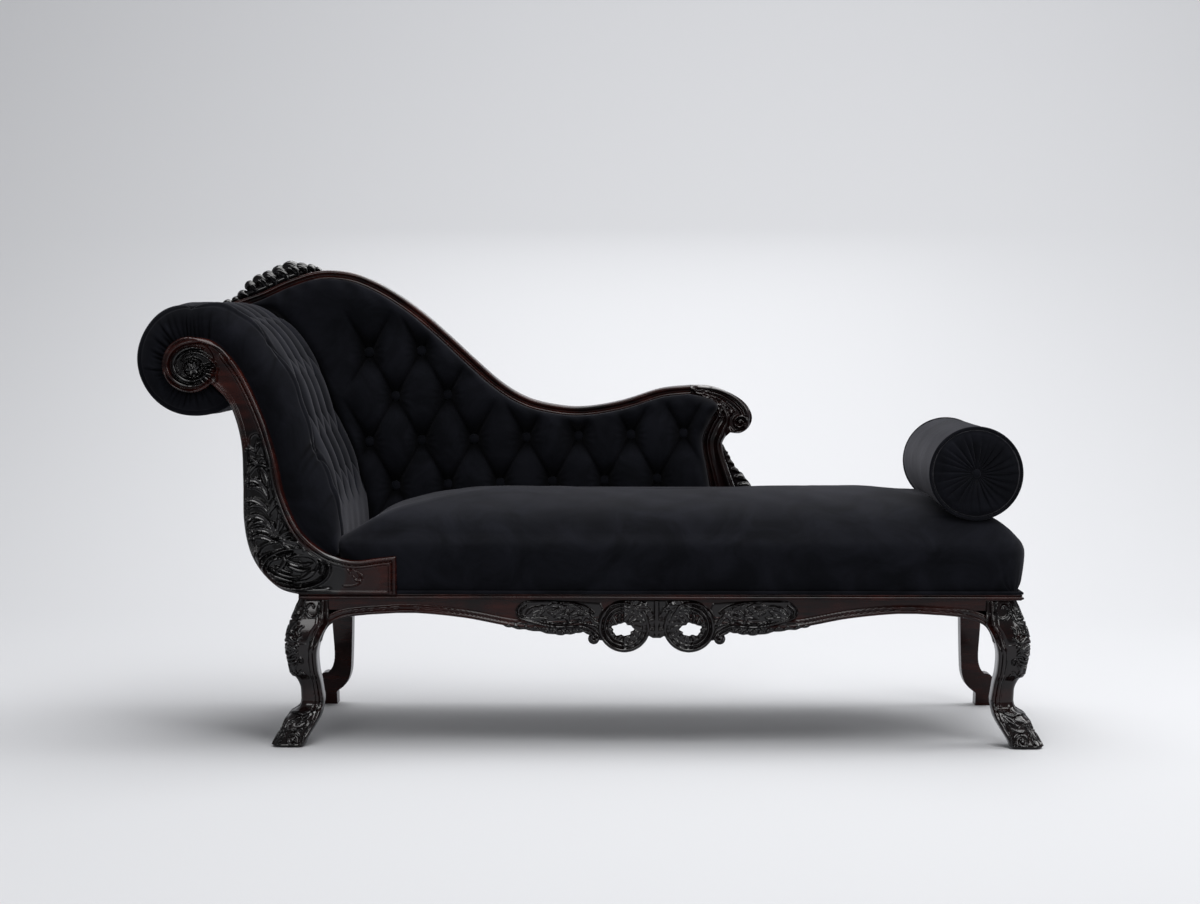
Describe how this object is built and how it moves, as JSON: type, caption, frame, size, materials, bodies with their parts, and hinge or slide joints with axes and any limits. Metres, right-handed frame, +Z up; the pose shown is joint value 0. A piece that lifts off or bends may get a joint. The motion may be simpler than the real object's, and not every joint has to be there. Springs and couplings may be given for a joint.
{
  "type": "fainting couch",
  "caption": "Fainting couch in ebonised carved wood and black velvet, with a rolled head, a sloping buttoned back and a loose bolster.",
  "frame": {"origin": "on the floor, under the middle of the couch's bounding box", "axes": "+X from the head to the foot end, +Y from the front to the back, +Z up"},
  "size_m": [1.7439, 0.65, 0.9548],
  "materials": {
    "show_wood": "ebonised mahogany, glossy lacquer, red-brown at the rubbed edges",
    "frame_wood": "plain sawn beech, hidden frame",
    "velvet": "black cotton velvet with a cool blue-grey sheen",
    "webbing": "woven jute webbing",
    "foam": "foam seat block",
    "dust_cloth": "thin black cotton dust cloth",
    "screw_steel": "zinc-plated wood screws"
  },
  "bodies": {
    "couch": {"front_apron": "show_wood", "apron_cartouche": "show_wood", "seat_moulding": "show_wood", "back_seat_rail": "frame_wood", "head_seat_rail": "frame_wood", "foot_seat_rail": "frame_wood", "seat_bearers": "frame_wood", "corner_blocks": "frame_wood", "corner_screws": "screw_steel", "front_leg_head": "show_wood", "front_leg_foot": "show_wood", "rear_leg_head": "show_wood", "rear_leg_foot": "show_wood", "head_facing": "show_wood", "facing_carving": "show_wood", "head_frame_front": "frame_wood", "head_frame_rear": "show_wood", "head_roll_beam": "frame_wood", "head_stretcher": "frame_wood", "head_tack_rail": "frame_wood", "back_post_head": "frame_wood", "back_post_middle": "frame_wood", "back_tack_rail": "frame_wood", "crest_rail": "show_wood", "crest_carving": "show_wood", "tail_scroll": "show_wood", "tail_leaf": "show_wood", "seat_webbing": "webbing", "seat_foam": "foam", "seat_cover": "velvet", "seat_welt": "velvet", "dust_cover": "dust_cloth", "head_pad": "velvet", "head_border_front": "velvet", "head_border_rear": "velvet", "head_buttons": "velvet", "head_outside_panel": "velvet", "back_pad": "velvet", "back_buttons": "velvet", "back_outside_panel": "velvet"},
    "bolster": {"bolster": "velvet", "bolster_ends": "velvet", "bolster_piping": "velvet", "bolster_buttons": "velvet"}
  },
  "joints": [
    {"name": "bolster_lift", "type": "slide", "parent": "couch", "child": "bolster", "axis": [0, 0, 1], "range_m": [0, 0.3]}
  ]
}
